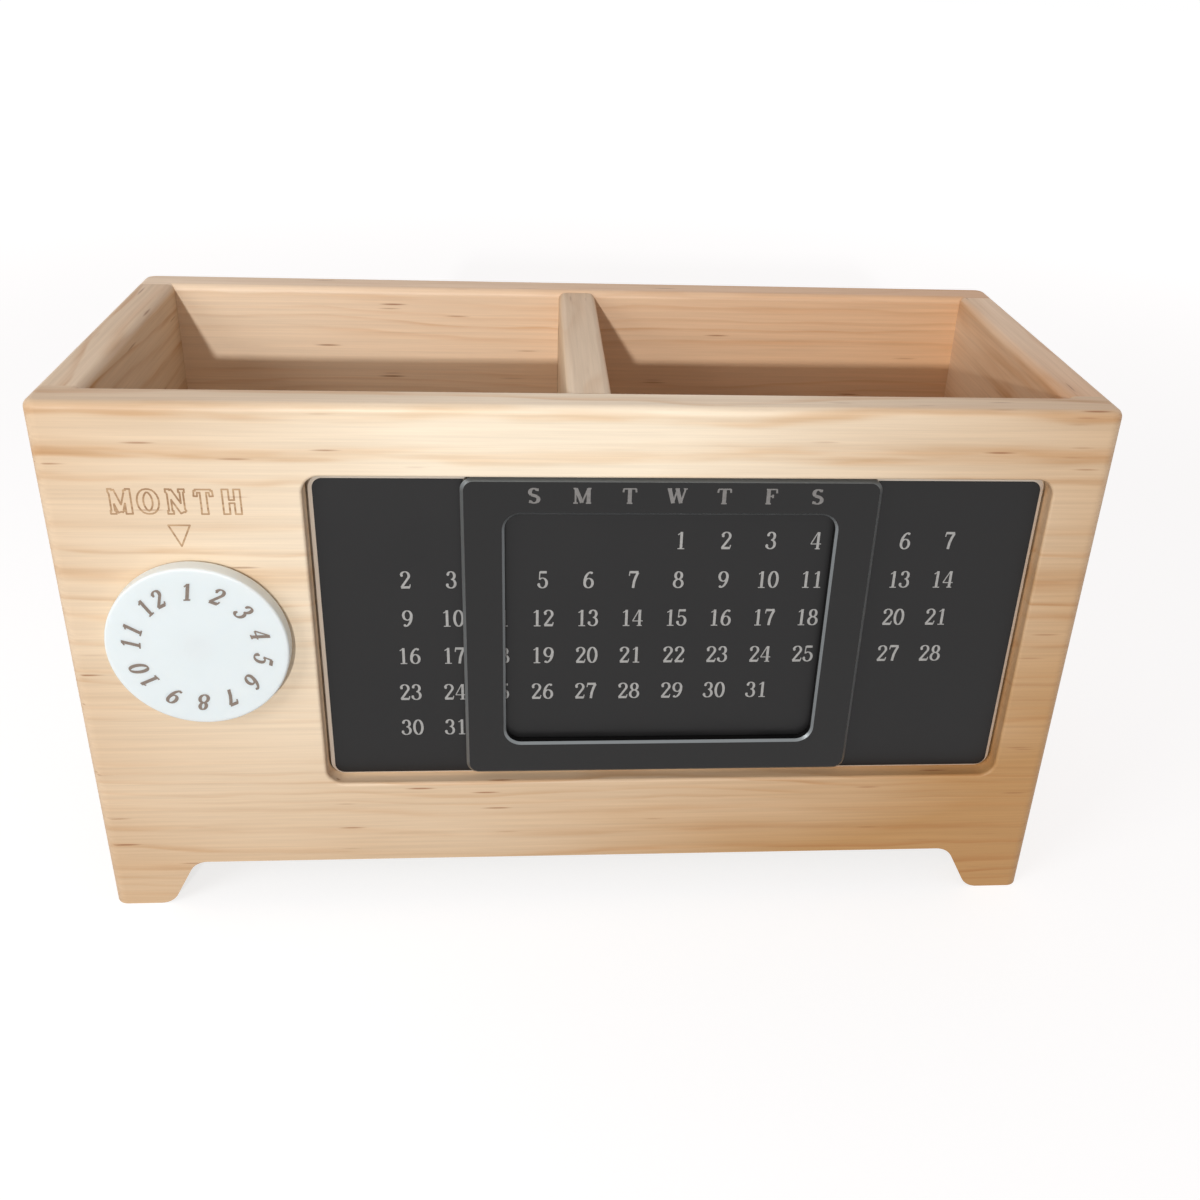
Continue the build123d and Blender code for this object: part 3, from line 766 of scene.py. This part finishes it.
print("signs drawn:", "".join(signs))


# %% From strokes to clean triangles
def joined(polygons, nearest):
    """Overlapping polygons as one set of triangles; points nearer than this become one point."""
    points, faces = [], []
    for polygon in polygons:
        faces.append(list(range(len(points), len(points) + len(polygon))))
        points += polygon
    joined_points, _, triangles, _, _, covered_by = delaunay_2d_cdt(points, [], faces, 0, nearest)
    return joined_points, [triangle for triangle, owners in zip(triangles, covered_by) if owners]


def sign_outline(sign, thick=.13, thin=.05):
    """One sign as clean triangles: its points and its faces, all strokes joined into one."""
    polygons = [p for path, weight in signs[sign] for p in stroke_polygons(path, weight, thick, thin)]
    polygons += [[Vector(p) for p in arc(x, y, ball_radius, ball_radius, 0, 324)]
                 for x, y in balls.get(sign, [])]
    return joined(polygons, 1e-5)


book = {sign: sign_outline(sign) for sign in signs}
bold = {sign: sign_outline(sign, thick=.18, thin=.085) for sign in signs}
print("triangles in the book face:", sum(len(faces) for points, faces in book.values()))


# %% From signs to ink
def lay_word(word, face, centre, height, turn=0.0, lean=0.0, pitch=None, stretch=1.0):
    """Triangles of a word in one face (such as bold), as (x, z) in metres on the front plane.

    The word is centred and turned; lean slants it and stretch widens its signs.
    """
    steps = [pitch or widths.get(sign, figure_pitch) for sign in word]
    middle = sum(steps) / 2
    turning = Matrix.Rotation(turn, 2)
    laid = []
    start = 0.0
    for sign, step in zip(word, steps):
        points, faces = face[sign]
        own_middle = widths.get(sign, figure_pitch) / 2
        placed = []
        for point in points:
            beside = stretch * (point.x - own_middle) + lean * (point.y - .5)
            flat = Vector((start + step / 2 - middle + beside, point.y - .5))
            placed.append(Vector(centre) + turning @ (flat * height))
        laid.append((placed, faces))
        start += step
    return laid


def print_ink(name, laid, surface_y, ink, material, body):
    """One mesh for a whole print, lying on a surface that faces the front, with real ink thickness."""
    mesh = bmesh.new()
    for points, faces in laid:
        made = [mesh.verts.new((p.x, surface_y, p.y)) for p in points]
        for face in faces:
            mesh.faces.new([made[i] for i in face])
    raised = bmesh.ops.extrude_face_region(mesh, geom=mesh.faces[:])
    bmesh.ops.translate(
        mesh, vec=(0, -ink, 0), verts=[v for v in raised["geom"] if isinstance(v, bmesh.types.BMVert)])
    bmesh.ops.recalc_face_normals(mesh, faces=mesh.faces)
    data = bpy.data.meshes.new(name)
    mesh.to_mesh(data)
    mesh.free()
    data.materials.append(material)
    piece = bpy.data.objects.new(name, data)
    bpy.context.scene.collection.objects.link(piece)
    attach(piece, body)
    print(name, "faces:", len(data.polygons))


# %% [markdown]
# ## Printing
# The dates are screen printed in white on the calendar, thirteen columns wide, so that a window
# of seven columns can start a month on any weekday. The first row starts at the seventh column;
# every later row is the same run of numbers, a week further on. The initials are printed in a
# silver ink on the slider's top bar, and the month numbers run clockwise round the dial, tops
# outward. Ink lies on the surface, about 0.02 mm thick.

# %% Inks
ink_thickness = 0.02 * mm
ink_sink = 0.004 * mm          # the ink's back lies this deep in the surface, so no gap shows


def ink_material(name, colour, worn, roughness, metallic):
    """Screen ink: flat colour, slightly uneven where the squeegee left less."""
    material, tree, shader = start_material(name)
    in_mm, _ = surface_point(tree)
    patches = add_node(
        tree, "ShaderNodeTexNoise", {"Vector": in_mm, "Scale": 1 / 0.6, "Detail": 2.0})
    tone = add_node(
        tree, "ShaderNodeMixRGB", {"Fac": patches, "Color1": linear(colour), "Color2": linear(worn)})
    link(tree, tone, shader, "Base Color")
    shader.inputs["Roughness"].default_value = roughness
    shader.inputs["Metallic"].default_value = metallic
    return material


white_ink = ink_material("white_screen_ink", "#B4B5B4", "#8E8F8E", 0.5, 0.0)
silver_ink = ink_material("silver_screen_ink", "#898786", "#6C6A68", 0.4, 0.6)
brown_ink = ink_material("sepia_pad_print", "#75695F", "#8E8177", 0.5, 0.0)

# %% Dates on the calendar
calendar_low, calendar_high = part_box("calendar_board")
calendar_middle = (calendar_low.x + calendar_high.x) / 2
date_height = 3.7 * mm
column_pitch = 8.41 * mm
top_row_below_edge = 13.05 * mm
row_pitch = 8.2 * mm
rows, columns, first_column, last_date = 6, 13, 7, 31

laid_dates = []
for row in range(rows):
    for column in range(1, columns + 1):
        date = 7 * row + column - first_column + 1
        if 1 <= date <= last_date:
            x = calendar_middle + (column - first_column) * column_pitch
            z = calendar_high.z - top_row_below_edge - row * row_pitch
            laid_dates += lay_word(str(date), book, (x, z), date_height)
print_ink("calendar_dates", laid_dates, calendar_low.y + ink_sink, ink_thickness + ink_sink,
          white_ink, "box")

# %% Weekday initials on the slider
slider_low, slider_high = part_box("slider_frame")
weekday_height = 3.1 * mm
weekday_stretch = 1.25         # a wide face, unlike the figures
weekday_pitch = 8.5 * mm
weekday_below_top = 3.2 * mm
weekday_aside = 0.6 * mm       # the printed row stands a little right of the frame's middle
weekday_middle = (slider_low.x + slider_high.x) / 2 + weekday_aside

laid_initials = []
for day, initial in enumerate("SMTWTFS"):
    x = weekday_middle + (day - 3) * weekday_pitch
    laid_initials += lay_word(
        initial, bold, (x, slider_high.z - weekday_below_top), weekday_height, stretch=weekday_stretch)
print_ink("weekday_initials", laid_initials, slider_low.y + ink_sink, ink_thickness + ink_sink,
          silver_ink, "slider")

# %% Month numbers on the dial
dial_low, dial_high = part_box("month_dial")
dial_centre = Vector(((dial_low.x + dial_high.x) / 2, (dial_low.z + dial_high.z) / 2))
number_ring = 11.7 * mm
number_height = 3.5 * mm
number_lean = 0.2
figure_step = 15.2             # degrees between the two figures of one number
first_turn = -2.2              # the printed ring is a little off the pointer
two_figure_numbers = 3         # 10, 11 and 12
number_step = (360 - two_figure_numbers * figure_step) / 12

laid_numbers = []
clockwise = first_turn
for month in range(1, 13):
    for figure in str(month):
        turn = -math.radians(clockwise)
        outward = Matrix.Rotation(turn, 2) @ Vector((0, 1))
        laid_numbers += lay_word(
            figure, bold, dial_centre + outward * number_ring, number_height, turn, number_lean)
        clockwise += figure_step
    clockwise += number_step - figure_step
print_ink("month_numbers", laid_numbers, dial_low.y + ink_sink, ink_thickness + ink_sink,
          brown_ink, "dial")

# %% [markdown]
# ## Burnt marks
# The word over the dial and the small pointer are burnt into the wood by a laser, which follows
# the outline of a fat letter and leaves a light-brown line a third of a millimetre wide. The
# lines are laid on the board as a very thin skin of scorched pine. An edge of a sign's triangles
# that only one of them has is on its outline, so those edges, given a width, make the line.

# %% Scorched lines
past_corner = 0.6              # how far a strip runs past its ends, in half widths, to close corners


def contour(points, faces, width):
    """The outline of some triangles as a line of the given width, in clean triangles of its own."""
    users = {}
    for face in faces:
        for a, b in zip(face, face[1:] + face[:1]):
            users.setdefault(frozenset((a, b)), []).append((a, b))
    strips = []
    for edges in users.values():
        if len(edges) == 1:
            a, b = edges[0]
            along = (points[b] - points[a]).normalized() * width / 2
            aside = Vector((-along.y, along.x))
            start, end = points[a] - along * past_corner, points[b] + along * past_corner
            strips.append([start - aside, end - aside, end + aside, start + aside])
    return joined(strips, width * 1e-4)


def scorched_pine():
    """Pine browned by heat, uneven along the grain."""
    material, tree, shader = start_material("scorched_pine")
    in_mm, _ = surface_point(tree)
    stretched = add_node(
        tree, "ShaderNodeVectorMath", {0: in_mm, 1: (1 / 6, 1 / 0.6, 1 / 0.6)}, operation="MULTIPLY")
    fibres = add_node(
        tree, "ShaderNodeTexNoise", {"Vector": stretched, "Scale": 1.0, "Detail": 2.0})
    tone = add_node(
        tree, "ShaderNodeMapRange", {"Value": fibres, "From Min": 0.35, "From Max": 0.65})
    colour = add_node(
        tree, "ShaderNodeMixRGB", {"Fac": tone, "Color1": linear("#9E7C5A"), "Color2": linear("#C2A27E")})
    link(tree, colour, shader, "Base Color")
    shader.inputs["Roughness"].default_value = 0.7
    return material


front_low, front_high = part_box("front_panel")
word_height = 4.5 * mm
word_from_left = 23.4 * mm     # from the board's left end to the word's middle
word_below_top = 18.0 * mm
letter_pitch = 1.05            # in letter heights: widely spaced
burn_skin = 0.012 * mm
burn_width = 0.32 * mm

fat = {sign: sign_outline(sign, thick=.24, thin=.13) for sign in "MONTH"}
outlined = {sign: contour(*fat[sign], burn_width / word_height) for sign in "MONTH"}
word_centre = (front_low.x + word_from_left, front_high.z - word_below_top)
laid_word = lay_word("MONTH", outlined, word_centre, word_height, pitch=letter_pitch)

pointer_from_left, pointer_below_top = 23.35 * mm, 22.6 * mm
pointer_width, pointer_drop = 3.7 * mm, 4.1 * mm
pointer_middle = front_low.x + pointer_from_left
pointer_top = front_high.z - pointer_below_top
pointer = [Vector((pointer_middle - pointer_width / 2, pointer_top)),
           Vector((pointer_middle + pointer_width / 2, pointer_top)),
           Vector((pointer_middle, pointer_top - pointer_drop))]
laid_word.append(contour(pointer, [(0, 1, 2)], burn_width))
print_ink("burnt_marks", laid_word, front_low.y + ink_sink, burn_skin + ink_sink,
          scorched_pine(), "box")
